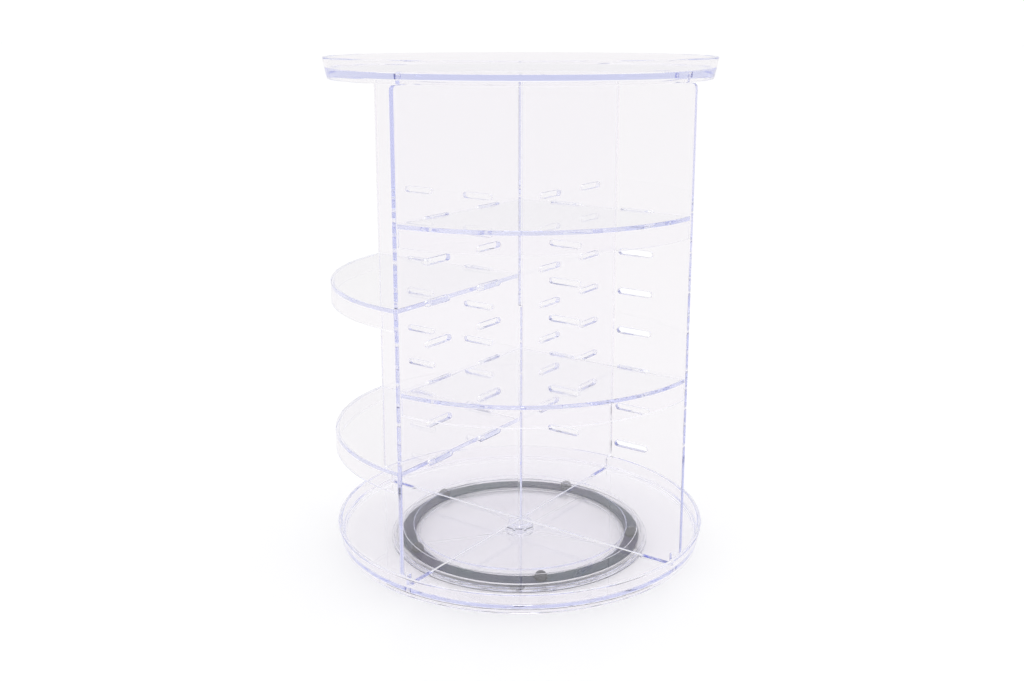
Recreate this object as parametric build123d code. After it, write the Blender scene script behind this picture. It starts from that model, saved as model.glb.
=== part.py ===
from build123d import *
from math import cos, radians, sin, sqrt
import os

# Clear rotating storage carousel: a ball-bearing turntable carries a round tray, two crossed
# divider panels, four quarter-circle shelves and a second round tray on top.
# Origin: on the turning axis at the table. +Z is up, the panels lie along X and Y. Millimetres.

# ---- driving dimensions ---------------------------------------------------------------------
tray_r = 118.0            # outer radius at a tray's rim
tray_foot_r = 115.4       # outer radius at a tray's bottom edge
tray_h = 12.8             # a tray's wall, bottom edge to rim
tray_wall = 2.4
tray_floor_t = 2.9
tray_floor_up = 3.1       # floor underside above the wall's bottom edge
tray_lip = 0.7            # bevel at the wall's bottom edge and rim

base_tray_z = 7.0         # bottom edge of the base tray above the table
top_tray_z = 299.0        # bottom edge of the top tray above the table

panel_t = 3.0
panel_r = 117.6           # reach of a wing from the axis
panel_foot_r = 111.4      # reach of the narrow foot and head that sit inside the trays
panel_gap = 0.3           # around the narrow foot and under the top tray
panel_corner = 3.0        # rounding of the wings' outer corners
cross_slot_w = 3.2        # halving joint
cross_slot_gap = 0.1

row_count = 7
row_top_z = 225.5         # deck top of a shelf in the highest row
row_pitch = 23.75
slot_r_inner = 34.0       # distance of the two slot columns from the axis
slot_r_outer = 82.6
slot_len = 22.0
slot_h = 3.6

shelf_r = 117.4
shelf_t = 2.6
shelf_apron_h = 13.0      # full height of the curved apron, deck included
shelf_apron_t = 2.0
shelf_gap = 0.3           # between a shelf's straight edges and the panels
shelf_tab_w = 16.0
shelf_tab_past = 0.4      # how far a tab stands past the far face of the panel
shelf_tab_back = 0.9      # room left at the inner end of a slot

leg_w = 17.0              # panel tabs that stand in the trays' floors
leg_slot_w = 21.0
leg_slot_t = 4.6
leg_r = 101.0
leg_short = 0.2           # how far the tabs stop short of the floors' far faces
past = 1.0                # how far a cutting tool runs past what it cuts

ball_count = 5
ball_r = 4.0
ball_gap = 0.05           # running clearance above and below a ball
track_r = 74.1
track_w = 7.0
first_ball_deg = -45.0    # bearing of the first ball, anticlockwise from +X

plate_r = 83.8
plate_z = 1.6
plate_t = 2.0
plate_groove = 0.6
plate_wall_r = 82.4
plate_wall_t = 2.0
plate_wall_h = 2.4
plate_inner_wall_r = 67.8
plate_inner_wall_t = 1.4
plate_inner_wall_h = 1.2
plate_boss_r = 9.0
plate_boss_top = 8.6
rib_w = 1.0
rib_h = 1.0
first_rib_deg = -56.0     # bearing of the first rib and its foot

cage_in_r = 69.4
cage_out_r = 78.8
cage_t = 1.4
cage_lift = 0.3
cage_ball_gap = 0.15

foot_r = 4.5
foot_at_r = 75.5
foot_round = 0.5

pin_r = 3.0
pin_fit = 0.05            # radial clearance in the base plate
pin_head_r = 6.0
pin_head_t = 1.0
pin_top_z = 12.7
pin_split_w = 0.8
pin_lead = 0.6            # bevel at the pin's tip
hub_r = 8.0
hub_gap = 0.3

# ---- heights worked out from the above ------------------------------------------------------
plate_top = plate_z + plate_t
groove_z = plate_top - plate_groove
ball_z = groove_z + ball_gap + ball_r
floor_under = base_tray_z + tray_floor_up
floor_top = floor_under + tray_floor_t
base_rim_z = base_tray_z + tray_h
top_under = top_tray_z + tray_floor_up

shelf_bays = {            # bay name: turn that brings the +X -Y bay there, and the rows filled
    "front": (0, (("upper", 1), ("lower", 5))),
    "left": (-90, (("upper", 3), ("lower", 7))),
}

# ---- helpers --------------------------------------------------------------------------------


def disc(radius, low, high):
    """Solid round plate about the axis between two heights."""
    return Pos(0, 0, low) * extrude(Circle(radius), high - low)


def ring(inner, outer, low, high):
    """Flat ring about the axis between two heights."""
    return disc(outer, low, high) - disc(inner, low - past, high + past)


def block(x_low, x_high, y_low, y_high, z_low, z_high):
    """Box given by its faces."""
    size = (x_high - x_low, y_high - y_low, z_high - z_low)
    middle = ((x_low + x_high) / 2, (y_low + y_high) / 2, (z_low + z_high) / 2)
    return Pos(*middle) * Box(*size)


def turned(shape, degrees):
    """Shape turned about the main axis."""
    return Rot(0, 0, degrees) * shape


def row_z(row):
    """Deck top height of a shelf in the given row, row 1 highest."""
    return row_top_z - (row - 1) * row_pitch


def polar(radius, degrees, z=0.0):
    """Point at a radius and bearing."""
    return Pos(radius * cos(radians(degrees)), radius * sin(radians(degrees)), z)


# ---- turntable ------------------------------------------------------------------------------


def make_base_plate():
    """Stationary plate: ball groove, two guide walls, centre boss and five ribs underneath."""
    plate = disc(plate_r, plate_z, plate_top)
    plate += ring(plate_wall_r - plate_wall_t, plate_wall_r, plate_top, plate_top + plate_wall_h)
    inner = plate_inner_wall_r
    plate += ring(inner - plate_inner_wall_t, inner, plate_top, plate_top + plate_inner_wall_h)
    plate += disc(plate_boss_r, plate_z - rib_h, plate_boss_top)
    for number in range(ball_count):
        rib = block(plate_boss_r / 2, foot_at_r - foot_r, -rib_w / 2, rib_w / 2, plate_z - rib_h, plate_z)
        plate += turned(rib, first_rib_deg + number * 360 / ball_count)
    plate -= ring(track_r - track_w / 2, track_r + track_w / 2, groove_z, plate_top + past)
    plate -= disc(pin_r + pin_fit, -past, plate_boss_top + past)
    plate -= disc(pin_head_r + hub_gap, -past, plate_z + hub_gap)
    return plate


def make_foot(number):
    """Soft round pad under the plate at the end of a rib."""
    place = polar(foot_at_r, first_rib_deg + number * 360 / ball_count)
    pad = extrude(Circle(foot_r), plate_z)
    pad = fillet(pad.edges().group_by(Axis.Z)[0], foot_round)
    return place * pad


def ball_bearing_deg(number):
    """Bearing of a ball around the axis."""
    return first_ball_deg + number * 360 / ball_count


def make_cage():
    """Flat ring that spaces the balls round the track."""
    low = plate_top + cage_lift
    drop = ball_z - (low + cage_t)
    hole_r = sqrt(ball_r ** 2 - drop ** 2) + cage_ball_gap
    cage = ring(cage_in_r, cage_out_r, low, low + cage_t)
    hole = extrude(Circle(hole_r), cage_t + 2 * past)
    for number in range(ball_count):
        cage -= polar(track_r, ball_bearing_deg(number), low - past) * hole
    return cage


def make_ball(number):
    """One steel ball in the track."""
    return polar(track_r, ball_bearing_deg(number), ball_z) * Sphere(ball_r)


def make_pivot_pin():
    """Snap pin: head under the plate, shank through its boss, split end in the tray's hub."""
    low, half = plate_z - pin_head_t, pin_r + past
    pin = disc(pin_head_r, low, plate_z) + disc(pin_r, low, pin_top_z)
    pin = chamfer(pin.edges().group_by(Axis.Z)[-1], pin_lead)
    split = block(-half, half, -pin_split_w / 2, pin_split_w / 2, floor_under, pin_top_z + past)
    for angle in (45, 135):
        pin -= turned(split, angle)
    return pin


# ---- trays ----------------------------------------------------------------------------------


def tray_shell(z):
    """Round tray with a slightly flared wall that runs a little below its floor."""
    foot, rim = tray_foot_r, tray_r
    flare = (rim - foot) / tray_h
    floor_low, floor_high = tray_floor_up, tray_floor_up + tray_floor_t
    lip = tray_lip
    outline = [
        (0, floor_low),
        (foot + flare * floor_low - tray_wall, floor_low),
        (foot - tray_wall + lip, 0),
        (foot - lip, 0),
        (foot, lip),
        (rim, tray_h - lip),
        (rim - lip, tray_h),
        (rim - tray_wall + lip, tray_h),
        (rim - tray_wall, tray_h - lip),
        (foot + flare * floor_high - tray_wall, floor_high),
        (0, floor_high),
    ]
    profile = make_face(Polyline(*outline, close=True))
    return Pos(0, 0, z) * revolve(Plane.XZ * profile, Axis.Z)


def leg_slots(z):
    """Four round-ended slots in a tray's floor for the tabs of the panels."""
    slots = []
    for quarter in range(4):
        slot = extrude(SlotOverall(leg_slot_w, leg_slot_t), tray_floor_t + 2 * past)
        slots.append(turned(Pos(leg_r, 0, z - past) * slot, 90 * quarter))
    return slots


def make_base_tray():
    """Lower tray with the upper ball groove and the hub on its underside."""
    tray = tray_shell(base_tray_z)
    tray += disc(hub_r, plate_boss_top + hub_gap, floor_top)
    for slot in leg_slots(floor_under):
        tray -= slot
    groove_top = ball_z + ball_r + ball_gap
    tray -= ring(track_r - track_w / 2, track_r + track_w / 2, floor_under - past, groove_top)
    tray -= disc(pin_r, base_tray_z - past, pin_top_z)
    return tray


def make_top_tray():
    """Upper tray, set on the heads of the panels."""
    tray = tray_shell(top_tray_z)
    for slot in leg_slots(top_under):
        tray -= slot
    return tray


# ---- divider panels -------------------------------------------------------------------------


def panel_outline():
    """Front view of a panel: wide body, narrow foot and head, tabs into both floors."""
    body_low, body_high = base_rim_z + panel_gap, top_tray_z - panel_gap
    low, high = floor_top, top_under
    body_mid, body_size = (body_low + body_high) / 2, body_high - body_low
    body = Pos(0, body_mid) * RectangleRounded(2 * panel_r, body_size, panel_corner)
    core = Pos(0, (low + high) / 2) * Rectangle(2 * panel_foot_r, high - low)
    outline = body + core
    for side in (-1, 1):
        leg_low, leg_high = floor_under + leg_short, top_under + tray_floor_t - leg_short
        outline += Pos(side * leg_r, (leg_low + leg_high) / 2) * Rectangle(leg_w, leg_high - leg_low)
    for row in range(1, row_count + 1):
        height = row_z(row) - shelf_t / 2
        for radius in (slot_r_inner, slot_r_outer):
            for side in (-1, 1):
                outline -= Pos(side * radius, height) * SlotOverall(slot_len, slot_h)
    return outline


def make_panel(turn, notch_from_top):
    """One divider panel, halved at the axis so that the two cross."""
    panel = extrude(Plane.XZ * panel_outline(), panel_t / 2, both=True)
    middle = (floor_top + top_under) / 2
    half = cross_slot_w / 2
    if notch_from_top:
        panel -= block(-half, half, -panel_t, panel_t, middle - cross_slot_gap, top_under + past)
    else:
        panel -= block(-half, half, -panel_t, panel_t, floor_top - past, middle + cross_slot_gap)
    return turned(panel, turn)


# ---- shelves --------------------------------------------------------------------------------


def make_shelf(row, turn):
    """Quarter-circle shelf: deck on top, curved apron below its arc, two tabs on each side."""
    top = row_z(row)
    edge = panel_t / 2 + shelf_gap
    beyond = shelf_r + past
    quarter = block(edge, beyond, -beyond, -edge, top - shelf_apron_h - past, top + past)
    deck = disc(shelf_r, top - shelf_t, top) & quarter
    apron = ring(shelf_r - shelf_apron_t, shelf_r, top - shelf_apron_h, top) & quarter
    shelf = deck + apron
    reach = edge - shelf_gap - panel_t - shelf_tab_past
    for radius in (slot_r_inner, slot_r_outer):
        near = radius - slot_len / 2 + shelf_tab_back
        far = near + shelf_tab_w
        shelf += block(near, far, -edge - past, -reach, top - shelf_t, top)
        shelf += block(reach, edge + past, -far, -near, top - shelf_t, top)
    return turned(shelf, turn)


# ---- write the parts ------------------------------------------------------------------------

parts = {
    "base_plate": make_base_plate(),
    "ball_cage": make_cage(),
    "pivot_pin": make_pivot_pin(),
    "base_tray": make_base_tray(),
    "top_tray": make_top_tray(),
    "divider_panel_side": make_panel(0, True),
    "divider_panel_front": make_panel(90, False),
}
for index in range(ball_count):
    parts[f"bearing_ball_{index + 1}"] = make_ball(index)
    parts[f"foot_pad_{index + 1}"] = make_foot(index)
for bay, (turn_deg, rows) in shelf_bays.items():
    for level, row_number in rows:
        parts[f"shelf_{bay}_{level}"] = make_shelf(row_number, turn_deg)

os.makedirs("parts", exist_ok=True)
for name, shape in parts.items():
    export_step(shape, f"parts/{name}.step")
    print(f"{name}: {len(shape.solids())} solid, {shape.volume / 1000:.2f} cm3")
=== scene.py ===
from math import asin, atan2, cos, hypot, pi, radians, sin, sqrt

import bmesh
import bpy
from bpy.props import FloatProperty, FloatVectorProperty, IntProperty, PointerProperty
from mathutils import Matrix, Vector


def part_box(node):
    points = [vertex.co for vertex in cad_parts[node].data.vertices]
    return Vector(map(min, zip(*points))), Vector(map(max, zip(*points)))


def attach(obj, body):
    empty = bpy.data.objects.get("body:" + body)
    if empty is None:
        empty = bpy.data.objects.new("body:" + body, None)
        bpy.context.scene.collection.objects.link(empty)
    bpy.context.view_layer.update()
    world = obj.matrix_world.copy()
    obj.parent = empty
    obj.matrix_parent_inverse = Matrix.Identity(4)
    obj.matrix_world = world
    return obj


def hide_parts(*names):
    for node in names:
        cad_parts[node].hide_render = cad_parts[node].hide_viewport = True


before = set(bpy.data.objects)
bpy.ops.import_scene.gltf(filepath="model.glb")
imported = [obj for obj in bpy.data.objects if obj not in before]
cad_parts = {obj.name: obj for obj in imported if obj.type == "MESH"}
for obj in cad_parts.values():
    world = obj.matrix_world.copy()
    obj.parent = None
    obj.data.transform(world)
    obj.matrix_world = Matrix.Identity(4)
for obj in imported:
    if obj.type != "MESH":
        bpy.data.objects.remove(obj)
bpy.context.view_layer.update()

bl_info = {
    "name": "Clear Storage Carousel",
    "version": (1, 0, 0),
    "blender": (4, 5, 0),
    "location": "3D View > Sidebar > Carousel",
    "description": "Builds a clear rotating storage carousel on a ball-bearing turntable",
    "category": "Object",
}

BALLS = sorted(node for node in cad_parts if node.startswith("bearing_ball"))
FEET = sorted(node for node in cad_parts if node.startswith("foot_pad"))
SHELVES = sorted(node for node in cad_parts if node.startswith("shelf"))
MM = 0.001
PAINTED_LIGHT_MARK = "edge"            # name of the face attribute that marks narrow edges for painted glow and leg-slot walls for painted shade
FLAT = 0.97              # a face whose normal leans less than this along an axis isn't square to it
TOUCHING = 0.001 * MM    # points nearer than this are one
SOFT = 0.25 * MM         # rounding of the turntable's corners
BALL_ROOM = 0.05 * MM    # running clearance over a ball
HOLE_ROOM = 0.15 * MM    # clearance round a ball in the cage
ROUND_STEPS = 192        # steps round the turntable's pieces
DISC = 0.999             # width to length of a bar that is as good as round


# ---- reading the frame --------------------------------------------------------------------------


def low_of(node):
    """Lowest height of a CAD node."""
    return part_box(node)[0].z


def top_of(node):
    """Highest height of a CAD node."""
    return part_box(node)[1].z


def middle_of(node):
    """Centre of a CAD node's box."""
    low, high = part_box(node)
    return (low + high) / 2


def bearing_of(node):
    """Bearing of a CAD node's centre about the turning axis, in radians from +X."""
    centre = middle_of(node)
    return atan2(centre.y, centre.x)


def reach_of(node):
    """Distance of a CAD node's centre from the turning axis."""
    centre = middle_of(node)
    return hypot(centre.x, centre.y)


# ---- sizes and colours --------------------------------------------------------------------------


def length(name, description, millimetres):
    """A length property, given in millimetres and kept in metres."""
    return FloatProperty(name=name, description=description, default=millimetres * MM,
                         unit="LENGTH", precision=5)


def colour(name, description, default):
    """A linear colour property."""
    return FloatVectorProperty(name=name, description=description, default=default, subtype="COLOR",
                               size=3, min=0, max=1)


class CarouselTraySizes(bpy.types.PropertyGroup):
    """Sizes of the two round trays."""
    wall: length("Wall", "Thickness of a tray's wall", 2.4)
    floor: length("Floor", "Thickness of a tray's floor", 2.9)
    floor_up: length("Floor height", "Underside of the floor above the wall's bottom edge", 3.1)
    flare: length("Flare", "How much further out the rim is than the bottom edge", 2.6)
    edge_round: length("Edge rounding", "Rounding of the rim and the bottom edge", 0.9)
    corner_round: length("Corner rounding", "Rounding where wall and floor meet", 1.2)
    leg_slot_reach: length("Leg slot reach", "Distance of the leg slots from the axis", 101.0)
    leg_slot_length: length("Leg slot length", "Length of the slots for the panels' legs", 21.0)
    leg_slot_width: length("Leg slot width", "Width of the slots for the panels' legs", 4.6)
    segments: IntProperty(name="Segments", description="Steps round a full turn", default=256, min=64)


class CarouselPanelSizes(bpy.types.PropertyGroup):
    """Sizes of the two crossed divider panels."""
    foot_reach: length("Foot reach", "Reach of the narrow foot and head inside the trays", 111.4)
    side_gap: length("Gap to trays", "Gap between the wide part and the trays' edges", 0.3)
    corner: length("Corner", "Rounding of the wide part's corners", 3.0)
    leg_width: length("Leg width", "Width of the tabs in the trays' floors", 17.0)
    leg_reach: length("Leg reach", "Distance of the tabs from the axis", 101.0)
    notch_width: length("Notch width", "Width of the halving notch", 3.2)
    slot_length: length("Slot length", "Length of a shelf slot", 22.0)
    slot_height: length("Slot height", "Height of a shelf slot", 3.6)
    slot_inner: length("Inner slots", "Distance of the inner slot column from the axis", 34.0)
    slot_outer: length("Outer slots", "Distance of the outer slot column from the axis", 82.6)
    row_pitch: length("Row pitch", "Height between two rows of slots", 23.75)
    rows: IntProperty(name="Rows", description="Rows of slots", default=7, min=1)
    bevel: length("Bevel", "Polished bevel along every edge", 0.22)
    clearance: length("Clearance", "Gap that keeps the panels' ends just off the trays' floors", 0.05)


class CarouselShelfSizes(bpy.types.PropertyGroup):
    """Sizes of the quarter-circle shelves."""
    deck: length("Deck", "Thickness of the deck", 2.6)
    apron: length("Apron", "Thickness of the curved apron under the arc", 2.0)
    edge_gap: length("Edge gap", "Distance of the straight edges from the panels' middle planes", 1.8)
    reach: length("Reach", "Radius of the arc", 117.4)
    tab_width: length("Tab width", "Width of a tab", 16.0)
    tab_back: length("Tab setback", "Start of a tab from its slot's inner end", 0.9)
    tab_out: length("Tab length", "How far a tab stands out of a straight edge", 3.7)
    bevel: length("Bevel", "Rounding along every edge", 0.3)


class CarouselBearingSizes(bpy.types.PropertyGroup):
    """Sizes of the turntable under the base tray."""
    plate: length("Plate", "Thickness of the base plate", 2.0)
    groove: length("Groove", "Depth of the ball groove in the plate", 0.6)
    groove_width: length("Groove width", "Width of both ball grooves", 7.0)
    wall_reach: length("Outer wall reach", "Outer radius of the outer guide wall", 82.4)
    wall: length("Outer wall", "Thickness of the outer guide wall", 2.0)
    wall_height: length("Outer wall height", "Height of the outer guide wall above the plate", 2.4)
    inner_reach: length("Inner wall reach", "Outer radius of the inner guide wall", 67.8)
    inner_wall: length("Inner wall", "Thickness of the inner guide wall", 1.4)
    inner_height: length("Inner wall height", "Height of the inner guide wall above the plate", 1.2)
    boss: length("Boss", "Radius of the centre boss", 9.0)
    hub: length("Hub", "Radius of the hub under the base tray", 8.0)
    hub_gap: length("Hub gap", "Gap between the hub and the plate's boss", 0.3)
    rib_width: length("Rib width", "Width of a rib under the plate", 1.0)
    rib_height: length("Rib height", "Depth of a rib under the plate", 1.0)
    cage_width: length("Cage width", "Radial width of the ball cage", 9.4)
    pin: length("Pin", "Radius of the pivot pin's shank", 3.0)
    pin_head: length("Pin head", "Radius of the pivot pin's head", 6.0)
    pin_head_depth: length("Pin head depth", "Thickness of the pivot pin's head", 1.0)
    pin_fit: length("Pin fit", "Radial clearance of the pin in the plate", 0.05)
    split: length("Split", "Width of the slits in the pin's end", 0.8)


class CarouselFinishes(bpy.types.PropertyGroup):
    """Colours of the clear plastic, the painted glow on its edges and the painted shade in its leg slots,
    the cage, the balls and the pads.
    """
    sheet_tint: colour("Sheet tint", "Colour that every clear surface passes", (0.995, 0.990, 0.997))
    # Painted glow: narrow edges are drawn opaque in this light blue-violet, standing in for light carried
    # along inside the sheet
    painted_edge_glow: colour("Edge tint", "Colour of the sheets' narrow edges", (0.46, 0.50, 0.84))
    # Painted shade: the leg slots' clear walls are drawn opaque in this dark violet
    painted_slot_shade: colour("Leg slot tint", "Colour of the walls of the leg slots", (0.05, 0.04, 0.10))
    depth_tint: colour("Depth tint", "Colour left by a long way through the plastic", (0.45, 0.50, 0.93))
    depth_density: FloatProperty(
        name="Depth density", description="How fast the plastic takes on the depth tint", default=3.0, min=0)
    cage_dark: colour("Cage", "Main colour of the ball cage", (0.012, 0.003, 0.070))
    cage_teal: colour("Cage teal", "Teal that the cage shows in places", (0.002, 0.045, 0.060))
    # Painted shade: far darker than real steel, so the balls look as if they mirrored dark surroundings
    steel: colour("Steel", "Colour of the balls", (0.07, 0.07, 0.08))
    pad: colour("Pads", "Colour of the soft pads", (0.90, 0.90, 0.93))


# ---- node trees as expressions ------------------------------------------------------------------


class Val:
    """One socket of a node tree. Maths between sockets and numbers adds Math nodes."""

    def __init__(self, web, socket):
        self.web = web
        self.socket = socket

    def also(self, output):
        """Another output of the same node."""
        return Val(self.web, self.socket.node.outputs[output])

    def __add__(self, other):
        return self.web.math("ADD", self, other)

    __radd__ = __add__

    def __sub__(self, other):
        return self.web.math("SUBTRACT", self, other)

    def __mul__(self, other):
        return self.web.math("MULTIPLY", self, other)

    __rmul__ = __mul__

    def __truediv__(self, other):
        return self.web.math("DIVIDE", self, other)


class Web:
    """Adds nodes to one shader or geometry tree."""

    def __init__(self, tree):
        self.tree = tree

    def feed(self, socket, value):
        """Links a Val to an input, or sets the input to a plain value."""
        if isinstance(value, Val):
            self.tree.links.new(value.socket, socket)
        else:
            socket.default_value = value

    def node(self, kind, settings=None, ins=None, out=0):
        """A node of any kind: its settings are set first, then its inputs, by name or number."""
        made = self.tree.nodes.new(kind)
        for key, value in (settings or {}).items():
            if key == "stops":
                fill_ramp(made.color_ramp, value)
            else:
                setattr(made, key, value)
        for key, value in (ins or {}).items():
            self.feed(made.inputs[key], value)
        return Val(self, made.outputs[out]) if made.outputs else made

    def math(self, operation, *values):
        """A Math node."""
        return self.node("ShaderNodeMath", {"operation": operation}, dict(enumerate(values)))

    def mix_colour(self, factor, first, second):
        """A blend of two colours."""
        ins = {0: factor, 6: as_rgba(first), 7: as_rgba(second)}
        return self.node("ShaderNodeMix", {"data_type": "RGBA"}, ins, out=2)

    def vector(self, x=0.0, y=0.0, z=0.0):
        """A vector from three values."""
        return self.node("ShaderNodeCombineXYZ", None, {0: x, 1: y, 2: z})

    def polar(self, turn, reach, height):
        """A place given by its bearing, its distance from the axis and its height."""
        return self.vector(self.math("COSINE", turn) * reach, self.math("SINE", turn) * reach, height)

    def join(self, *geometries):
        """Several geometries as one."""
        made = self.tree.nodes.new("GeometryNodeJoinGeometry")
        for geometry in geometries:
            self.tree.links.new(geometry.socket, made.inputs[0])
        return Val(self, made.outputs[0])


def as_rgba(value):
    """A colour with its fourth number, or a Val as it is."""
    return value if isinstance(value, Val) else (*value[:3], 1.0)


def fill_ramp(ramp, stops):
    """Gives a colour ramp its stops, as (place, grey or colour) pairs."""
    while len(ramp.elements) < len(stops):
        ramp.elements.new(1.0)
    for element, (place, shade) in zip(ramp.elements, stops):
        element.position = place
        element.color = as_rgba(shade if hasattr(shade, "__len__") else (shade, shade, shade))


# ---- materials ----------------------------------------------------------------------------------


def new_material(name):
    """A material with an empty tree, its web and its output node."""
    material = bpy.data.materials.new(name)
    material.use_nodes = True
    material.node_tree.nodes.clear()
    web = Web(material.node_tree)
    return material, web, web.node("ShaderNodeOutputMaterial")


def noise(web, where, scale, detail=2.0, roughness=0.5, distortion=0.0):
    """Smooth noise from 0 to 1."""
    ins = {"Vector": where, "Scale": scale, "Detail": detail, "Roughness": roughness,
           "Distortion": distortion}
    return web.node("ShaderNodeTexNoise", None, ins)


def object_place(web):
    """The point in the object's own coordinates, in metres."""
    return web.node("ShaderNodeTexCoord", out="Object")


def make_clear_plastic(name, finish):
    """Polished clear sheet: faint moulding waves, a few wiped smears, tinted only along its edges."""
    material, web, output = new_material(name)
    place = object_place(web)
    waves = noise(web, place, 22.0, 2.0)
    smears = noise(web, place, 60.0, 4.0, 0.6, 0.8)
    haze = web.node("ShaderNodeValToRGB", {"stops": ((0.45, 0.0), (0.80, 1.0))}, {0: smears})
    bump = web.node("ShaderNodeBump", None, {"Strength": 0.02, "Distance": 0.0004, "Height": waves})
    tint = web.mix_colour(smears, [shade * 0.995 for shade in finish.sheet_tint], finish.sheet_tint)
    plastic = web.node("ShaderNodeBsdfPrincipled", None, {
        "Base Color": tint, "Roughness": haze * 0.02, "IOR": 1.49,
        "Transmission Weight": 1.0, "Normal": bump})
    clear_to_lamps = web.node("ShaderNodeBsdfTransparent", None, {"Color": (0.962, 0.960, 0.966, 1.0)})
    shadow_ray = web.node("ShaderNodeLightPath", out="Is Shadow Ray")
    scattered = web.node("ShaderNodeMixShader", None, {
        0: shadow_ray.also("Is Diffuse Ray"), 1: plastic, 2: clear_to_lamps})
    surface = web.node("ShaderNodeMixShader", None, {0: shadow_ray, 1: scattered, 2: clear_to_lamps})
    inside = web.node("ShaderNodeVolumeAbsorption", None, {
        "Color": as_rgba(finish.depth_tint), "Density": finish.depth_density})
    web.feed(output.inputs["Surface"], surface)
    web.feed(output.inputs["Volume"], inside)
    return material


def make_sheet_edge(name, finish):
    """Narrow edge of the clear plastic, drawn opaque: its blue-violet is a painted glow for light carried
    along the sheet, and its dark violet on the leg slots' walls is painted shade.
    """
    material, web, output = new_material(name)
    streaks = noise(web, object_place(web), 120.0, 3.0, 0.6)
    # Painted glow, lighter in random streaks
    light = web.mix_colour(streaks, finish.painted_edge_glow, [0.5 + 0.5 * part for part in finish.painted_edge_glow])
    level = web.node("ShaderNodeAttribute", {"attribute_name": PAINTED_LIGHT_MARK}, out="Fac")
    # Level 2 faces, the leg slots' walls, take the painted shade instead of the painted glow
    shade = web.mix_colour(web.math("MAXIMUM", level - 1.0, 0.0), light, finish.painted_slot_shade)
    edge = web.node("ShaderNodeBsdfPrincipled", None, {
        "Base Color": shade, "Roughness": 0.22 + streaks * 0.2, "IOR": 1.49})
    web.feed(output.inputs["Surface"], edge)
    return material


def make_bearing_steel(name, finish):
    """Polished ball steel with fine rolling marks; its colour is far darker than steel's own, a painted
    shade for dark surroundings that it mirrors.
    """
    material, web, output = new_material(name)
    place = object_place(web)
    fine = noise(web, place, 900.0, 4.0, 0.6)
    broad = noise(web, place, 180.0, 2.0)
    shade = web.mix_colour(broad, [0.86 * part for part in finish.steel], finish.steel)
    bump = web.node("ShaderNodeBump", None, {"Strength": 0.05, "Distance": 0.0001, "Height": fine})
    steel = web.node("ShaderNodeBsdfPrincipled", None, {
        "Base Color": shade, "Metallic": 1.0, "Roughness": 0.08 + fine * 0.10, "Normal": bump})
    web.feed(output.inputs["Surface"], steel)
    return material


def make_dark_cage(name, finish):
    """Dark glossy ring whose colour drifts between brown, violet and teal."""
    material, web, output = new_material(name)
    place = object_place(web)
    drift = noise(web, place, 14.0, 3.0, 0.6)
    patches = web.node("ShaderNodeValToRGB", {"stops": ((0.42, 0.0), (0.62, 1.0))}, {0: drift})
    grain = noise(web, place, 700.0, 5.0, 0.65)
    shade = web.mix_colour(patches, finish.cage_dark, finish.cage_teal)
    worn = web.mix_colour(grain * 0.25, shade, (0.06, 0.03, 0.05))
    bump = web.node("ShaderNodeBump", None, {"Strength": 0.10, "Distance": 0.0002, "Height": grain})
    dark = web.node("ShaderNodeBsdfPrincipled", None, {
        "Base Color": worn, "Roughness": 0.30 + grain * 0.14, "Specular IOR Level": 0.3,
        "Coat Weight": 0.02 + patches * 0.06,
        "Normal": bump})
    web.feed(output.inputs["Surface"], dark)
    return material


def make_clear_pad(name, finish):
    """Soft translucent pad with a fine matt skin."""
    material, web, output = new_material(name)
    place = object_place(web)
    skin = noise(web, place, 1400.0, 3.0, 0.6)
    shade = web.mix_colour(skin, [0.94 * part for part in finish.pad], finish.pad)
    bump = web.node("ShaderNodeBump", None, {"Strength": 0.15, "Distance": 0.0001, "Height": skin})
    pad = web.node("ShaderNodeBsdfPrincipled", None, {
        "Base Color": shade, "Roughness": 0.30 + skin * 0.2, "IOR": 1.43,
        "Transmission Weight": 0.85, "Normal": bump})
    web.feed(output.inputs["Surface"], pad)
    return material


def make_floor_white():
    """Matt white studio table, evenly white to the camera; every other ray sees a painted shade, darker,
    with a painted brighter pool round the axis.
    """
    material, web, output = new_material("floor_white")
    place = object_place(web)
    grain = noise(web, place, 40.0, 3.0)
    # Painted light pool: within 0.10 m of the axis, fading out by 0.15 m, the floor is brighter for every
    # ray but a camera ray
    reach = web.node("ShaderNodeVectorMath", {"operation": "LENGTH"}, {0: place}, out="Value")
    painted_pool_mask = web.node("ShaderNodeValToRGB", {"stops": ((0.10, 0.0), (0.15, 1.0))}, {0: reach})
    through = web.mix_colour(painted_pool_mask, (0.955, 0.942, 0.957), (0.880, 0.867, 0.880))
    # Only camera rays see the even white; rays through the plastic and all others see the painted shade and
    # pool
    direct = web.node("ShaderNodeLightPath", out="Is Camera Ray")
    paper = web.mix_colour(grain, (0.950, 0.950, 0.955), (0.960, 0.960, 0.960))
    shade = web.mix_colour(direct, through, paper)
    matt = web.node("ShaderNodeBsdfPrincipled", None, {"Base Color": shade, "Roughness": 0.7 + grain * 0.1})
    web.feed(output.inputs["Surface"], matt)
    return material


FINISHES = {
    # The edge material paints the glow on marked edges and the shade on the leg slots' walls
    PAINTED_LIGHT_MARK: ("clear sheet edge", make_sheet_edge),
    "clear_plastic": ("polished clear sheet", make_clear_plastic),
    "bearing_steel": ("polished ball steel", make_bearing_steel),
    "dark_cage": ("dark glossy cage", make_dark_cage),
    "clear_pad": ("soft clear pad", make_clear_pad),
}


def finish_for(slot):
    """The finish of a material slot, made the first time it is asked for."""
    name, make = FINISHES[slot]
    return bpy.data.materials.get(name) or make(name, bpy.context.scene.carousel_finishes)


# ---- mesh helpers -------------------------------------------------------------------------------


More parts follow.
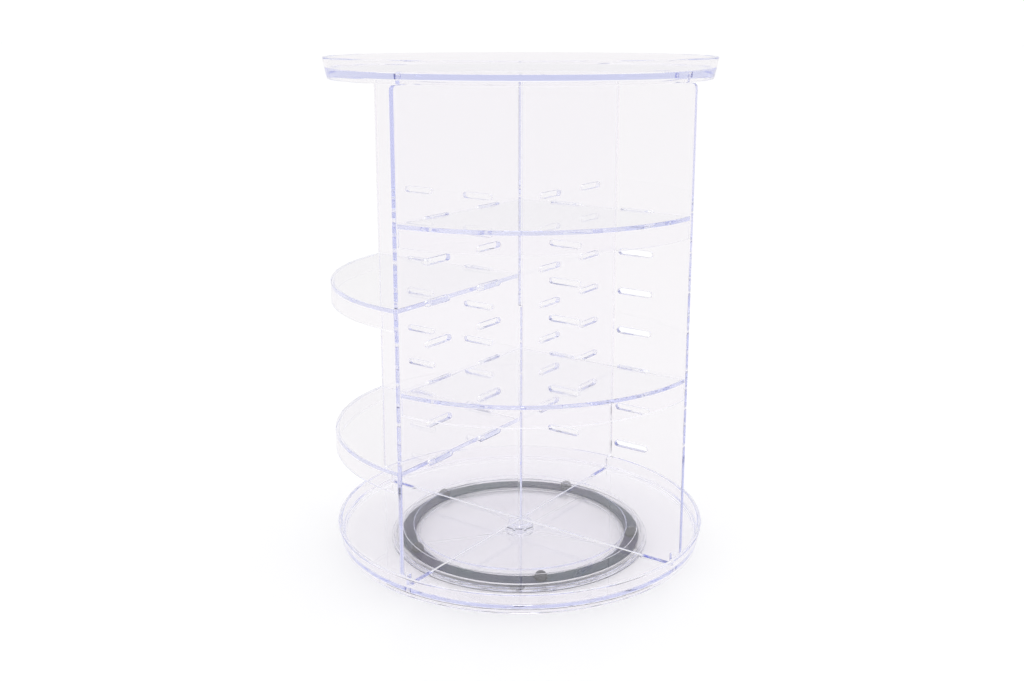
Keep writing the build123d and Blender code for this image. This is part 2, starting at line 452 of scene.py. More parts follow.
def rounded(corners, steps=4):
    """A closed outline with each corner (across, up, radius) turned into an arc of a few points."""
    points = []
    count = len(corners)
    for number, (x, y, radius) in enumerate(corners):
        before, after = corners[number - 1], corners[(number + 1) % count]
        to_before = (before[0] - x, before[1] - y)
        to_after = (after[0] - x, after[1] - y)
        size_before, size_after = hypot(*to_before), hypot(*to_after)
        if radius <= 0 or not size_before or not size_after:
            points.append((x, y))
            continue
        cosine = (to_before[0] * to_after[0] + to_before[1] * to_after[1]) / (size_before * size_after)
        half_turn = (pi - acos_safe(cosine)) / 2
        back = min(radius * sin(half_turn) / cos(half_turn), 0.45 * min(size_before, size_after))
        start = (x + to_before[0] / size_before * back, y + to_before[1] / size_before * back)
        end = (x + to_after[0] / size_after * back, y + to_after[1] / size_after * back)
        for step in range(steps + 1):
            t = step / steps
            points.append(tuple((1 - t) ** 2 * a + 2 * t * (1 - t) * b + t * t * c
                                for a, b, c in zip(start, (x, y), end)))
    return points


def acos_safe(cosine):
    """Angle of a cosine that rounding may have pushed past 1."""
    return atan2(sqrt(max(0.0, 1 - cosine * cosine)), cosine)


def mesh_from(name, build):
    """A mesh filled by build(bmesh), with doubles merged and its faces turned outwards."""
    shape = bmesh.new()
    build(shape)
    bmesh.ops.remove_doubles(shape, verts=shape.verts, dist=1e-7)
    bmesh.ops.recalc_face_normals(shape, faces=shape.faces)
    mesh = bpy.data.meshes.new(name)
    shape.to_mesh(mesh)
    shape.free()
    return mesh


def revolved(name, outline, segments):
    """A closed solid: the outline of (reach, height) points swept round the axis."""
    def build(shape):
        rings = []
        for reach, height in outline:
            if reach < 1e-7:
                rings.append([shape.verts.new((0, 0, height))] * segments)
                continue
            turns = [2 * pi * step / segments for step in range(segments)]
            rings.append([shape.verts.new((reach * cos(a), reach * sin(a), height)) for a in turns])
        for number, ring in enumerate(rings):
            after = rings[(number + 1) % len(rings)]
            for step in range(segments):
                following = (step + 1) % segments
                corners = [ring[step], ring[following], after[following], after[step]]
                corners = list(dict.fromkeys(corners))
                if len(corners) > 2:
                    shape.faces.new(corners)
    return mesh_from(name, build)


def extruded(name, outline, low, high, place):
    """A closed prism: the outline at two depths, each point put in space by place(u, v, depth)."""
    def build(shape):
        near = [shape.verts.new(place(u, v, low)) for u, v in outline]
        far = [shape.verts.new(place(u, v, high)) for u, v in outline]
        shape.faces.new(near)
        shape.faces.new(far)
        count = len(outline)
        for number in range(count):
            after = (number + 1) % count
            shape.faces.new((near[number], near[after], far[after], far[number]))
    return mesh_from(name, build)


def sliced(mesh, axis, places):
    """Splits a mesh's faces along planes square to an axis, so that none of them grows too complex."""
    shape = bmesh.new()
    shape.from_mesh(mesh)
    square = [float(number == axis) for number in range(3)]
    for place in places:
        whole = [*shape.verts, *shape.edges, *shape.faces]
        point = [place * part for part in square]
        bmesh.ops.bisect_plane(shape, geom=whole, plane_co=point, plane_no=square)
    shape.to_mesh(mesh)
    shape.free()


def scene_object(name, mesh):
    """A new object in the scene's collection."""
    made = bpy.data.objects.new(name, mesh)
    bpy.context.scene.collection.objects.link(made)
    return made


def add_tree(piece, tree, slot, values):
    """Runs a geometry tree on a piece, with its material and its other inputs set by name."""
    values = {**values, "Material": finish_for(slot)}
    modifier = piece.modifiers.new(tree.name, "NODES")
    modifier.node_group = tree
    for item in tree.interface.items_tree:
        if item.item_type == "SOCKET" and item.in_out == "INPUT" and item.name in values:
            modifier[item.identifier] = values[item.name]
    return modifier


def settle(piece, sharp_angle=5.0):
    """Turns a piece's live modifiers into plain mesh, smooth on its curved faces."""
    graph = bpy.context.evaluated_depsgraph_get()
    graph.update()
    mesh = bpy.data.meshes.new_from_object(piece.evaluated_get(graph))
    piece.modifiers.clear()
    piece.data = mesh
    mesh.name = piece.name
    mesh.polygons.foreach_set("material_index", [0] * len(mesh.polygons))
    mesh.shade_smooth()
    mesh.set_sharp_from_angle(angle=radians(sharp_angle))
    return piece


def mark_edges(piece, level):
    """Keeps on every face which painted light it shows.

    level(outward normal, centre, height of the face) gives 0 for none, 1 for the painted blue edge glow and
    2 for the painted dark shade of the leg slots.
    """
    mesh = piece.data
    marks = mesh.attributes.new(PAINTED_LIGHT_MARK, "FLOAT", "FACE")
    for face in mesh.polygons:
        heights = [mesh.vertices[number].co.z for number in face.vertices]
        strength = level(face.normal, face.center, max(heights) - min(heights))
        marks.data[face.index].value = strength
        face.material_index = int(strength > 0)


def bevel(piece, width, segments=2):
    """Rounds every hard edge of a piece."""
    modifier = piece.modifiers.new("edge", "BEVEL")
    modifier.width = width
    modifier.segments = segments
    modifier.limit_method = "ANGLE"
    modifier.angle_limit = radians(40)
    modifier.use_clamp_overlap = True
    modifier.harden_normals = False
    return modifier


def hand_over(piece, body, nodes, slot):
    """Gives a finished piece the material of its slot, puts it in its body and hides the CAD nodes it stands
    for.
    """
    material = finish_for(slot)
    piece.data.materials.clear()
    piece.data.materials.append(material)
    # Marked faces get the edge material, which paints the edge glow and the leg-slot shade
    if PAINTED_LIGHT_MARK in piece.data.attributes:
        piece.data.materials.append(finish_for(PAINTED_LIGHT_MARK))
    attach(piece, body)
    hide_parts(*nodes)


# ---- geometry trees -----------------------------------------------------------------------------


def new_tree(name, lengths, counts=()):
    """A geometry tree with a geometry input and output and named number inputs."""
    tree = bpy.data.node_groups.new(name, "GeometryNodeTree")
    tree.interface.new_socket("Geometry", in_out="INPUT", socket_type="NodeSocketGeometry")
    for label in lengths:
        tree.interface.new_socket(label, in_out="INPUT", socket_type="NodeSocketFloat")
    for label in counts:
        tree.interface.new_socket(label, in_out="INPUT", socket_type="NodeSocketInt")
    tree.interface.new_socket("Material", in_out="INPUT", socket_type="NodeSocketMaterial")
    tree.interface.new_socket("Geometry", in_out="OUTPUT", socket_type="NodeSocketGeometry")
    web = Web(tree)
    given = web.node("NodeGroupInput")
    return tree, web, given


def close_tree(web, given, geometry):
    """Ends a tree in Realize Instances and Set Material."""
    whole = web.node("GeometryNodeRealizeInstances", None, {0: geometry})
    dressed = web.node("GeometryNodeSetMaterial", None, {
        "Geometry": whole, "Material": given.also("Material")})
    end = web.node("NodeGroupOutput")
    web.feed(end.inputs[0], dressed)


def stadium_block(web, size_along, size_across, depth):
    """A round-ended bar along X, from Z 0 up to its depth, as a closed mesh."""
    frame_curve = web.node("GeometryNodeCurvePrimitiveQuadrilateral", {"mode": "RECTANGLE"},
                           {"Width": size_along, "Height": size_across})
    soft = web.node("GeometryNodeFilletCurve", {"mode": "POLY"}, {
        "Curve": frame_curve, "Count": 10, "Radius": size_across * 0.4999})
    flat = web.node("GeometryNodeFillCurve", {"mode": "NGONS"}, {"Curve": soft})
    raised = web.node("GeometryNodeExtrudeMesh", {"mode": "FACES"}, {
        "Mesh": flat, "Offset": web.vector(0.0, 0.0, 1.0), "Offset Scale": depth, "Individual": False})
    under = web.node("GeometryNodeFlipFaces", None, {0: flat})
    return web.node("GeometryNodeMergeByDistance", None, {
        "Geometry": web.join(raised, under), "Distance": TOUCHING})


def combined(web, given, operation, bars):
    """The piece with the bars cut out of it, or joined to it."""
    made = web.tree.nodes.new("GeometryNodeMeshBoolean")
    made.operation = operation
    made.solver = "EXACT"
    web.feed(made.inputs["Mesh 1" if operation == "DIFFERENCE" else "Mesh 2"], given.also("Geometry"))
    web.tree.links.new(bars.socket, made.inputs["Mesh 2"])
    return Val(web, made.outputs["Mesh"])


def array_cut_tree(name, operation):
    """Round-ended bars set in a circle, cut out of the piece or joined to it."""
    lengths = ("Length", "Width", "Depth", "Reach", "Height", "First bearing")
    tree, web, given = new_tree(name, lengths, ("Count",))
    bar = stadium_block(web, given.also("Length"), given.also("Width"), given.also("Depth"))
    count = given.also("Count")
    spots = web.node("GeometryNodeMeshLine", {"mode": "OFFSET"}, {
        "Count": count, "Start Location": (0, 0, 0), "Offset": (0, 0, 0)})
    turn = given.also("First bearing") + web.node("GeometryNodeInputIndex") * (2 * pi) / count
    places = web.node("GeometryNodeSetPosition", None, {
        "Geometry": spots, "Position": web.polar(turn, given.also("Reach"), given.also("Height"))})
    bars = web.node("GeometryNodeInstanceOnPoints", None, {
        "Points": places, "Instance": bar, "Rotation": web.vector(0.0, 0.0, turn)})
    bars = web.node("GeometryNodeRealizeInstances", None, {0: bars})
    close_tree(web, given, combined(web, given, operation, bars))
    return tree


def slot_rows_tree():
    """Four columns of level slots in even rows, cut through an upright panel that lies along X."""
    lengths = ("Slot length", "Slot height", "Depth", "Inner reach", "Outer reach", "Top row", "Pitch")
    tree, web, given = new_tree("slot_rows", lengths, ("Rows",))
    depth = given.also("Depth")
    bar = stadium_block(web, given.also("Slot length"), given.also("Slot height"), depth)
    inner, outer = given.also("Inner reach"), given.also("Outer reach")
    columns = []
    for side in (-1, 1):
        columns.append(web.node("GeometryNodeMeshLine", {"mode": "END_POINTS"}, {
            "Count": 2, "Start Location": web.vector(inner * side, 0.0, given.also("Top row")),
            "Offset": web.vector(outer * side, 0.0, given.also("Top row"))}))
    rows = web.node("GeometryNodeMeshLine", {"mode": "OFFSET"}, {
        "Count": given.also("Rows"), "Start Location": (0, 0, 0),
        "Offset": web.vector(0.0, 0.0, given.also("Pitch") * -1)})
    grid = web.node("GeometryNodeInstanceOnPoints", None, {"Points": web.join(*columns), "Instance": rows})
    grid = web.node("GeometryNodeRealizeInstances", None, {0: grid})
    bars = web.node("GeometryNodeInstanceOnPoints", None, {
        "Points": grid, "Instance": bar, "Rotation": (pi / 2, 0.0, 0.0)})
    bars = web.node("GeometryNodeRealizeInstances", None, {0: bars})
    bars = web.node("GeometryNodeTransform", None, {
        "Geometry": bars, "Translation": web.vector(0.0, depth / 2, 0.0)})
    close_tree(web, given, combined(web, given, "DIFFERENCE", bars))
    return tree


def ball_ring_tree():
    """One ball at a bearing round the circle, with its rolling axis along the radius."""
    tree, web, given = new_tree("ball_ring", ("Radius", "Reach", "Height", "Bearing"))
    ball = web.node("GeometryNodeMeshUVSphere", None, {
        "Segments": 48, "Rings": 32, "Radius": given.also("Radius")})
    turn = given.also("Bearing")
    spot = web.polar(turn, given.also("Reach"), given.also("Height"))
    point = web.node("GeometryNodeMeshLine", {"mode": "OFFSET"}, {
        "Count": 1, "Start Location": spot, "Offset": (0, 0, 0)})
    balls = web.node("GeometryNodeInstanceOnPoints", None, {
        "Points": point, "Instance": ball, "Rotation": web.vector(0.0, pi / 2, turn)})
    close_tree(web, given, balls)
    return tree


def tree_named(name):
    """The geometry tree of that name, made the first time it is asked for."""
    made = bpy.data.node_groups.get(name)
    if made:
        return made
    if name == "slot_rows":
        return slot_rows_tree()
    if name == "ball_ring":
        return ball_ring_tree()
    return array_cut_tree(name, "DIFFERENCE" if name == "cut_array" else "UNION")


# ---- trays --------------------------------------------------------------------------------------


def tray_outline(sizes, low, high, reach, underside):
    """Half section of a tray, from the axis out along its underside, up its wall and back."""
    foot = reach - sizes.flare
    slope = sizes.flare / (high - low)
    floor_low, floor_high = low + sizes.floor_up, low + sizes.floor_up + sizes.floor
    edge, corner = sizes.edge_round, sizes.corner_round
    return underside + [
        (foot + slope * sizes.floor_up - sizes.wall, floor_low, corner),
        (foot - sizes.wall, low, edge),
        (foot, low, edge),
        (reach, high, edge),
        (reach - sizes.wall, high, edge),
        (foot + slope * (floor_high - low) - sizes.wall, floor_high, corner),
        (0, floor_high, 0),
    ]


def make_tray(node, body, underside):
    """Round tray with four leg slots in its floor."""
    sizes = bpy.context.scene.carousel_trays
    low, high = low_of(node), top_of(node)
    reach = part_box(node)[1].x
    outline = rounded(tray_outline(sizes, low, high, reach, underside))
    piece = scene_object(f"{node}_shell", revolved(node, outline, sizes.segments))
    add_tree(piece, tree_named("cut_array"), "clear_plastic", {
        "Length": sizes.leg_slot_length, "Width": sizes.leg_slot_width, "Depth": 3 * sizes.floor,
        "Reach": sizes.leg_slot_reach, "Height": low + sizes.floor_up - sizes.floor,
        "First bearing": 0.0, "Count": 4})
    settle(piece)

    def level(normal, centre, height):
        """2 on the leg slots' walls (painted shade), 1 on the rounded rim and bottom edge (painted glow), 0
        elsewhere.
        """
        outwards, steepness = hypot(centre.x, centre.y), abs(normal.z)
        near_slot = abs(outwards - sizes.leg_slot_reach) < 0.6 * sizes.leg_slot_length
        if near_slot and outwards < reach - 4 * MM and steepness < 0.2:
            return 2.0
        at_end = high - centre.z < 0.2 * MM or centre.z - low < 0.2 * MM
        return float(outwards > reach - 6 * MM and (0.3 < steepness < FLAT or at_end))

    mark_edges(piece, level)
    hand_over(piece, body, [node], "clear_plastic")
    return piece


class CAROUSEL_OT_trays(bpy.types.Operator):
    """Makes the base tray, with its ball groove and hub, and the top tray"""
    bl_idname = "carousel.trays"
    bl_label = "Trays"

    def execute(self, context):
        """Builds both trays."""
        trays, bearing = context.scene.carousel_trays, context.scene.carousel_bearing
        under = low_of("base_tray") + trays.floor_up
        groove = top_of(BALLS[0]) + BALL_ROOM
        hub_low = top_of("base_plate") + bearing.hub_gap
        bore_top = top_of("pivot_pin")
        track, half = reach_of(BALLS[0]), bearing.groove_width / 2
        underside = [
            (0, bore_top, 0), (bearing.pin, bore_top, 0), (bearing.pin, hub_low, SOFT),
            (bearing.hub, hub_low, SOFT), (bearing.hub, under, SOFT),
            (track - half, under, SOFT), (track - half, groove, SOFT),
            (track + half, groove, SOFT), (track + half, under, SOFT),
        ]
        make_tray("base_tray", "tower", underside)
        make_tray("top_tray", "top_tray", [(0, low_of("top_tray") + trays.floor_up, 0)])
        return {"FINISHED"}


# ---- divider panels -----------------------------------------------------------------------------


def panel_corners(sizes, node, notch_at_top):
    """Front outline of a panel as (across, up, rounding), notched from its top or its bottom."""
    low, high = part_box(node)
    reach = max(high.x, high.y)
    trays = bpy.context.scene.carousel_trays
    foot_top = top_of("base_tray") + sizes.side_gap
    head_low = low_of("top_tray") - sizes.side_gap
    floor_top = low_of("base_tray") + trays.floor_up + trays.floor + sizes.clearance
    ceiling = low_of("top_tray") + trays.floor_up - sizes.clearance
    inner, outer = sizes.leg_reach - sizes.leg_width / 2, sizes.leg_reach + sizes.leg_width / 2
    small, half, middle = 0.4 * MM, sizes.notch_width / 2, (floor_top + ceiling) / 2
    foot, corner = sizes.foot_reach, sizes.corner
    bottom = [(inner, floor_top, small), (inner, low.z, small), (outer, low.z, small),
              (outer, floor_top, small), (foot, floor_top, small), (foot, foot_top, small),
              (reach, foot_top, corner)]
    top = [(reach, head_low, corner), (foot, head_low, small), (foot, ceiling, small),
           (outer, ceiling, small), (outer, high.z, small), (inner, high.z, small),
           (inner, ceiling, small)]
    right = bottom + top
    left = [(-across, up, radius) for across, up, radius in reversed(right)]
    if notch_at_top:
        notch = [(half, ceiling, small), (half, middle, 0), (-half, middle, 0), (-half, ceiling, small)]
        return right + notch + left
    notch = [(-half, floor_top, small), (-half, middle, 0), (half, middle, 0), (half, floor_top, small)]
    return right + left + notch


def make_panel(node, along_x, notch_at_top):
    """Upright slotted panel, built along X and turned a quarter if it lies along Y."""
    sizes, shelf = bpy.context.scene.carousel_panels, bpy.context.scene.carousel_shelves
    low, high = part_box(node)
    thickness = min(high.x - low.x, high.y - low.y)
    outline = rounded(panel_corners(sizes, node, notch_at_top))
    mesh = extruded(node, outline, -thickness / 2, thickness / 2, lambda u, v, depth: (u, depth, v))
    top_row = top_of("shelf_front_upper") - shelf.deck / 2
    sliced(mesh, 2, [top_row - sizes.row_pitch * (row - 0.5) for row in range(sizes.rows + 1)])
    middle, end = (sizes.slot_inner + sizes.slot_outer) / 2, sizes.leg_reach
    sliced(mesh, 0, [side * place for side in (-1, 1) for place in (sizes.slot_inner / 2, middle, end)])
    piece = scene_object(f"{node}_sheet", mesh)
    add_tree(piece, tree_named("slot_rows"), "clear_plastic", {
        "Slot length": sizes.slot_length, "Slot height": sizes.slot_height, "Depth": 3 * thickness,
        "Inner reach": sizes.slot_inner, "Outer reach": sizes.slot_outer,
        "Top row": top_row, "Pitch": sizes.row_pitch, "Rows": sizes.rows})
    bevel(piece, sizes.bevel)
    settle(piece)
    # Faces that aren't square to the sheet get the painted blue edge glow
    mark_edges(piece, lambda normal, centre, height: float(abs(normal.y) < FLAT))
    if not along_x:
        for vertex in piece.data.vertices:
            x, y, z = vertex.co
            vertex.co = (-y, x, z)
    hand_over(piece, "tower", [node], "clear_plastic")
    return piece


class CAROUSEL_OT_panels(bpy.types.Operator):
    """Makes the two slotted divider panels that cross on the axis"""
    bl_idname = "carousel.panels"
    bl_label = "Divider panels"

    def execute(self, context):
        """Builds both panels."""
        make_panel("divider_panel_side", True, True)
        make_panel("divider_panel_front", False, False)
        return {"FINISHED"}


# ---- shelves ------------------------------------------------------------------------------------


def shelf_outline(sizes, panels):
    """Plan of the +X -Y shelf: straight edge with tabs, arc, straight edge with tabs.

    Gives the points, and the numbers of the points where the apron starts, the arc starts,
    the arc ends and the apron ends.
    """
    edge, reach = sizes.edge_gap, sizes.reach
    inner = reach - sizes.apron
    tip = edge - sizes.tab_out
    straight = [(edge, edge)]
    for slot in (panels.slot_inner, panels.slot_outer):
        near = slot - panels.slot_length / 2 + sizes.tab_back
        far = near + sizes.tab_width
        straight += [(near, edge), (near, tip), (far, tip), (far, edge)]
    straight.append((sqrt(inner ** 2 - edge ** 2), edge))
    first = [(along, -across) for along, across in straight]
    second = [(across, -along) for along, across in reversed(straight[1:])]
    lean, steps = asin(edge / reach), 72
    arc = []
    for step in range(steps + 1):
        turn = -lean - (pi / 2 - 2 * lean) * step / steps
        arc.append((reach * cos(turn), reach * sin(turn)))
    start = len(first) - 1
    return first + arc + second, start, start + 1, start + 1 + steps, start + 2 + steps


def make_shelf(node):
    """Quarter-circle shelf with its deck on top and an apron under its arc."""
    sizes, panels = bpy.context.scene.carousel_shelves, bpy.context.scene.carousel_panels
    low, high = low_of(node), top_of(node)
    under = high - sizes.deck
    plan, inner_first, arc_first, arc_last, inner_last = shelf_outline(sizes, panels)
    quarter = 0.0 if middle_of(node).x > 0 else -pi / 2
    inner_reach = sizes.reach - sizes.apron

    def at(point, z):
        """A plan point at a height, turned into this shelf's bay."""
        x, y = point
        return (x * cos(quarter) - y * sin(quarter), x * sin(quarter) + y * cos(quarter), z)

    def build(shape):
        """Deck, outer wall, apron bottom, apron inner wall and its two ends."""
        upper = [shape.verts.new(at(point, high)) for point in plan]
        lower = [shape.verts.new(at(point, under)) for point in plan]
        shape.faces.new(upper)
        count = len(plan)
        for number in range(count):
            after = (number + 1) % count
            shape.faces.new((upper[number], upper[after], lower[after], lower[number]))
        arc = range(arc_first, arc_last + 1)
        first_turn = atan2(plan[inner_first][1], plan[inner_first][0])
        last_turn = atan2(plan[inner_last][1], plan[inner_last][0])
        hem, back, back_top = [], [], []
        for order, number in enumerate(arc):
            share = order / (len(arc) - 1)
            turn = first_turn + (last_turn - first_turn) * share
            inside = (inner_reach * cos(turn), inner_reach * sin(turn))
            hem.append(shape.verts.new(at(plan[number], low)))
            back.append(shape.verts.new(at(inside, low)))
            ends = {0: lower[inner_first], len(arc) - 1: lower[inner_last]}
            back_top.append(ends.get(order) or shape.verts.new(at(inside, under)))
        for order in range(len(arc) - 1):
            outer = (lower[arc_first + order], lower[arc_first + order + 1])
            shape.faces.new((*outer, hem[order + 1], hem[order]))
            shape.faces.new((hem[order], hem[order + 1], back[order + 1], back[order]))
            shape.faces.new((back[order], back[order + 1], back_top[order + 1], back_top[order]))
        shape.faces.new((lower[arc_first], hem[0], back[0], back_top[0]))
        shape.faces.new((lower[arc_last], hem[-1], back[-1], back_top[-1]))
        straight = lower[:inner_first + 1] + back_top[1:-1] + lower[inner_last:]
        shape.faces.new(straight)

    piece = scene_object(f"{node}_moulding", mesh_from(node, build))
    bevel(piece, sizes.bevel, 3)
    settle(piece)
    narrow = 1.5 * sizes.deck
    # Narrow faces that aren't level get the painted blue edge glow
    mark_edges(piece, lambda normal, centre, height: float(abs(normal.z) < FLAT and height < narrow))
    hand_over(piece, node, [node], "clear_plastic")
    return piece


class CAROUSEL_OT_shelves(bpy.types.Operator):
    """Makes the quarter-circle shelves"""
    bl_idname = "carousel.shelves"
    bl_label = "Shelves"

    def execute(self, context):
        """Builds every shelf."""
        for node in SHELVES:
            make_shelf(node)
        return {"FINISHED"}


# ---- turntable ----------------------------------------------------------------------------------


def make_base_plate(sizes):
    """Stationary plate with ball groove, guide walls, boss and ribs."""
    low, top = low_of("base_plate"), top_of("base_plate")
    under = low + sizes.rib_height
    deck = under + sizes.plate
    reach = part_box("base_plate")[1].x
    groove_low = deck - sizes.groove
    track, half = reach_of(BALLS[0]), sizes.groove_width / 2
    bore, recess = sizes.pin + sizes.pin_fit, sizes.pin_head + sizes.hub_gap
    wall, inner = sizes.wall_reach, sizes.inner_reach
    outline = rounded([
        (bore, top, SOFT), (bore, under + sizes.hub_gap, SOFT), (recess, under + sizes.hub_gap, 0),
        (recess, low, SOFT), (sizes.boss, low, SOFT), (sizes.boss, under, SOFT),
        (reach, under, SOFT), (reach, deck, SOFT),
        (wall, deck, SOFT), (wall, deck + sizes.wall_height, SOFT),
        (wall - sizes.wall, deck + sizes.wall_height, SOFT), (wall - sizes.wall, deck, SOFT),
        (track + half, deck, SOFT), (track + half, groove_low, SOFT),
        (track - half, groove_low, SOFT), (track - half, deck, SOFT),
        (inner, deck, SOFT), (inner, deck + sizes.inner_height, SOFT),
        (inner - sizes.inner_wall, deck + sizes.inner_height, SOFT), (inner - sizes.inner_wall, deck, SOFT),
        (sizes.boss, deck, 2 * SOFT), (sizes.boss, top, SOFT),
    ])
    piece = scene_object("base_plate_moulding", revolved("base_plate", outline, ROUND_STEPS))
    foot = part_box(FEET[0])
    rib_end = reach_of(FEET[0]) - (foot[1].x - foot[0].x) / 2
    rib_length = rib_end - sizes.boss / 2
    add_tree(piece, tree_named("join_array"), "clear_plastic", {
        "Length": rib_length, "Width": sizes.rib_width, "Depth": sizes.rib_height + SOFT,
        "Reach": sizes.boss / 2 + rib_length / 2 + 2 * MM, "Height": low,
        "First bearing": bearing_of(FEET[0]), "Count": len(FEET)})
    settle(piece)
    hand_over(piece, "base", ["base_plate"], "clear_plastic")


def make_feet():
    """Five round pads at the ribs' ends, in one mesh."""
    low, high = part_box(FEET[0])
    radius, height = (high.x - low.x) / 2, high.z - low.z
    piece = scene_object("foot_pads", bpy.data.meshes.new("foot_pads"))
    add_tree(piece, tree_named("join_array"), "clear_pad", {
        "Length": 2 * radius, "Width": 2 * DISC * radius, "Depth": height, "Reach": reach_of(FEET[0]),
        "Height": low.z, "First bearing": bearing_of(FEET[0]), "Count": len(FEET)})
    bevel(piece, 0.4 * MM, 3)
    settle(piece)
    hand_over(piece, "base", FEET, "clear_pad")


def make_pivot_pin(sizes):
    """Snap pin with a crossed split in its upper end."""
    low, top = low_of("pivot_pin"), top_of("pivot_pin")
    neck = low + sizes.pin_head_depth
    outline = rounded([
        (0, low, 0), (sizes.pin_head, low, 0.3 * MM), (sizes.pin_head, neck, 0.3 * MM),
        (sizes.pin, neck, 0.1 * MM), (sizes.pin, top, 0.6 * MM), (0, top, 0)])
    piece = scene_object("pivot_pin_clip", revolved("pivot_pin", outline, ROUND_STEPS // 2))
    under = low_of("base_tray") + bpy.context.scene.carousel_trays.floor_up
    for turn in (pi / 4, 3 * pi / 4):
        add_tree(piece, tree_named("cut_array"), "clear_plastic", {
            "Length": 4 * sizes.pin, "Width": sizes.split, "Depth": 4 * sizes.pin, "Reach": 0.0,
            "Height": under, "First bearing": turn, "Count": 1})
    settle(piece)
    hand_over(piece, "tower", ["pivot_pin"], "clear_plastic")


class CAROUSEL_OT_turntable(bpy.types.Operator):
    """Makes the base plate with its ribs, the foot pads and the pivot pin"""
    bl_idname = "carousel.turntable"
    bl_label = "Turntable"

    def execute(self, context):
        """Builds the still part of the turntable and its pin."""
        sizes = context.scene.carousel_bearing
        make_base_plate(sizes)
        make_feet()
        make_pivot_pin(sizes)
        return {"FINISHED"}


class CAROUSEL_OT_bearing(bpy.types.Operator):
    """Makes the ball cage and the steel balls"""
    bl_idname = "carousel.bearing"
    bl_label = "Ball bearing"

    def execute(self, context):
        """Builds the cage, then one ball for each of its holes."""
        sizes = context.scene.carousel_bearing
        low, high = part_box("ball_cage")
        ball = (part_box(BALLS[0])[1].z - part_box(BALLS[0])[0].z) / 2
        track, height = reach_of(BALLS[0]), middle_of(BALLS[0]).z
        soft = 0.2 * MM
        outline = rounded([
            (high.x - sizes.cage_width, low.z, soft), (high.x, low.z, soft),
            (high.x, high.z, soft), (high.x - sizes.cage_width, high.z, soft)], 3)
        cage = scene_object("ball_cage_ring", revolved("ball_cage", outline, ROUND_STEPS))
        hole = 2 * (sqrt(ball ** 2 - (height - high.z) ** 2) + HOLE_ROOM)
        add_tree(cage, tree_named("cut_array"), "dark_cage", {
            "Length": hole, "Width": DISC * hole, "Depth": 4 * (high.z - low.z), "Reach": track,
            "Height": low.z - MM, "First bearing": bearing_of(BALLS[0]), "Count": len(BALLS)})
        settle(cage)
        hand_over(cage, "ball_cage", ["ball_cage"], "dark_cage")
        for node in BALLS:
            piece = scene_object(f"{node}_steel", bpy.data.meshes.new(node))
            add_tree(piece, tree_named("ball_ring"), "bearing_steel", {
                "Radius": ball, "Reach": track, "Height": height, "Bearing": bearing_of(node)})
            settle(piece, 180)
            hand_over(piece, node, [node], "bearing_steel")
        return {"FINISHED"}


# ---- stage --------------------------------------------------------------------------------------


def make_floor():
    """Plain white table."""
    half = 30.0
    corners = [(-half, -half), (half, -half), (half, half), (-half, half)]

    def build(shape):
        """One level square that faces up."""
        shape.faces.new([shape.verts.new((x, y, 0)) for x, y in corners])

    floor = scene_object("floor", mesh_from("floor", build))
    floor.data.materials.append(make_floor_white())


def make_world():
    """Even studio tent with a brighter roof, plain white where the camera meets it."""
    world = bpy.data.worlds.new("studio")
    world.use_nodes = True
    world.node_tree.nodes.clear()
    web = Web(world.node_tree)
    direction = web.node("ShaderNodeTexCoord", out="Generated")
    up = web.node("ShaderNodeSeparateXYZ", None, {0: direction}).also("Z")
    ramp = {"stops": ((0.71, 0.79), (0.84, 1.0))}
    tent = web.node("ShaderNodeValToRGB", ramp, {0: up * 0.5 + 0.5})
    direct = web.node("ShaderNodeLightPath", out="Is Camera Ray")
    shade = web.mix_colour(direct, tent, (1.0, 1.0, 1.0))
    glow = web.node("ShaderNodeBackground", None, {"Color": shade, "Strength": 1.14})
    output = web.node("ShaderNodeOutputWorld")
    web.feed(output.inputs["Surface"], glow)
    bpy.context.scene.world = world


def make_lamp(name, where, aim, size, power):
    """A square area lamp pointed at a place."""
    lamp = bpy.data.lights.new(name, "AREA")
    lamp.size, lamp.energy = size, power
    made = scene_object(name, lamp)
    made.location = where
    direction = [b - a for a, b in zip(where, aim)]
    flat = hypot(direction[0], direction[1])
    made.rotation_euler = (atan2(flat, -direction[2]), 0, atan2(direction[0], -direction[1]) + pi)


def make_camera():
    """The camera, a little above the top tray and turned towards the two bays with shelves."""
    data = bpy.data.cameras.new("camera")
    data.sensor_width = 36.0
    data.lens = 39.8
    data.shift_y = -0.0547
    data.clip_start, data.clip_end = 0.01, 50.0
    camera = scene_object("camera", data)
    side, away, height = radians(35.03), 0.6944, 0.3271
    down, aside = radians(12.71), radians(0.41)
    camera.location = (away * sin(side), -away * cos(side), height)
    camera.rotation_euler = (pi / 2 - down, 0, side + aside)
    bpy.context.scene.camera = camera


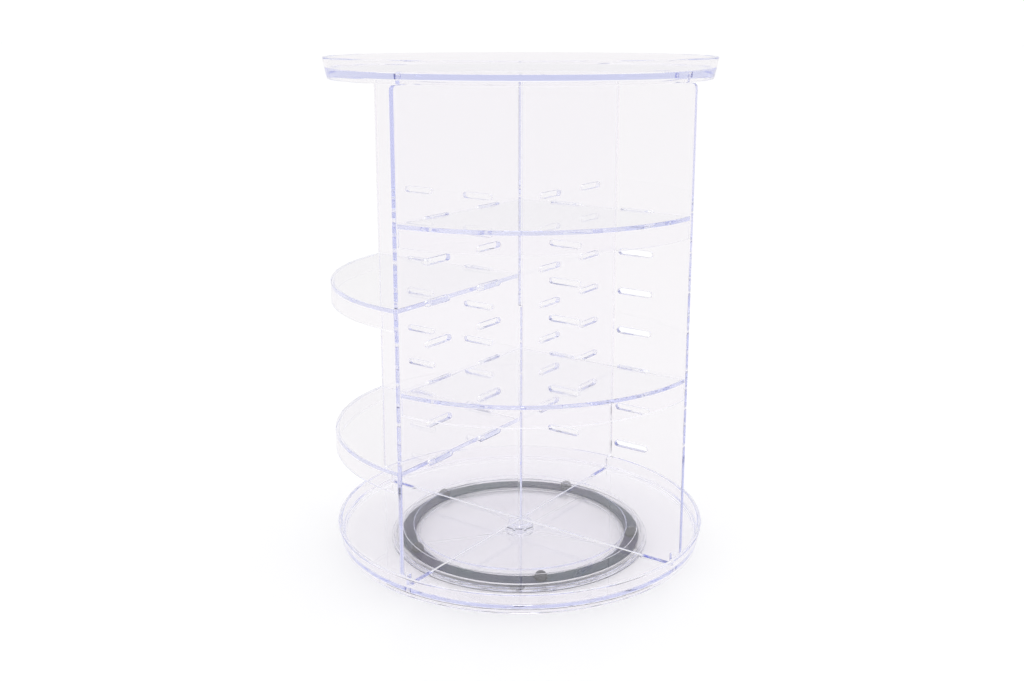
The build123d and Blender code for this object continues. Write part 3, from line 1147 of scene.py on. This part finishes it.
class CAROUSEL_OT_stage(bpy.types.Operator):
    """Makes the floor, the studio light and the camera"""
    bl_idname = "carousel.stage"
    bl_label = "Stage"

    def execute(self, context):
        """Builds all that isn't part of the object."""
        scene = context.scene
        make_floor()
        make_world()
        centre = (0, 0, 0.15)
        make_lamp("lamp_top", (0.5, -0.6, 1.5), centre, 0.35, 1.2)
        make_camera()
        scene.view_settings.view_transform = "Standard"
        scene.cycles.max_bounces = 128
        scene.cycles.transmission_bounces = 128
        scene.cycles.glossy_bounces = 128
        scene.cycles.transparent_max_bounces = 48
        scene.cycles.caustics_reflective = False
        return {"FINISHED"}


# ---- add-on -------------------------------------------------------------------------------------


class CAROUSEL_PT_sidebar(bpy.types.Panel):
    """Lists the carousel's pieces"""
    bl_idname = "CAROUSEL_PT_sidebar"
    bl_label = "Carousel"
    bl_space_type = "VIEW_3D"
    bl_region_type = "UI"
    bl_category = "Carousel"

    def draw(self, context):
        """A button for each group of pieces."""
        for operator in OPERATORS:
            self.layout.operator(operator.bl_idname)


OPERATORS = (CAROUSEL_OT_trays, CAROUSEL_OT_panels, CAROUSEL_OT_shelves, CAROUSEL_OT_turntable,
             CAROUSEL_OT_bearing, CAROUSEL_OT_stage)
GROUPS = {
    "carousel_trays": CarouselTraySizes,
    "carousel_panels": CarouselPanelSizes,
    "carousel_shelves": CarouselShelfSizes,
    "carousel_bearing": CarouselBearingSizes,
    "carousel_finishes": CarouselFinishes,
}


def register():
    """Adds the property groups, the operators and the sidebar panel."""
    for name, group in GROUPS.items():
        bpy.utils.register_class(group)
        setattr(bpy.types.Scene, name, PointerProperty(type=group))
    for operator in OPERATORS:
        bpy.utils.register_class(operator)
    bpy.utils.register_class(CAROUSEL_PT_sidebar)


def unregister():
    """Takes everything away again."""
    bpy.utils.unregister_class(CAROUSEL_PT_sidebar)
    for operator in reversed(OPERATORS):
        bpy.utils.unregister_class(operator)
    for name, group in GROUPS.items():
        delattr(bpy.types.Scene, name)
        bpy.utils.unregister_class(group)


def main():
    """Builds the carousel and its stage."""
    register()
    bpy.ops.carousel.stage()
    bpy.ops.carousel.trays()
    bpy.ops.carousel.panels()
    bpy.ops.carousel.shelves()
    bpy.ops.carousel.turntable()
    bpy.ops.carousel.bearing()


if __name__ == "__main__":
    main()
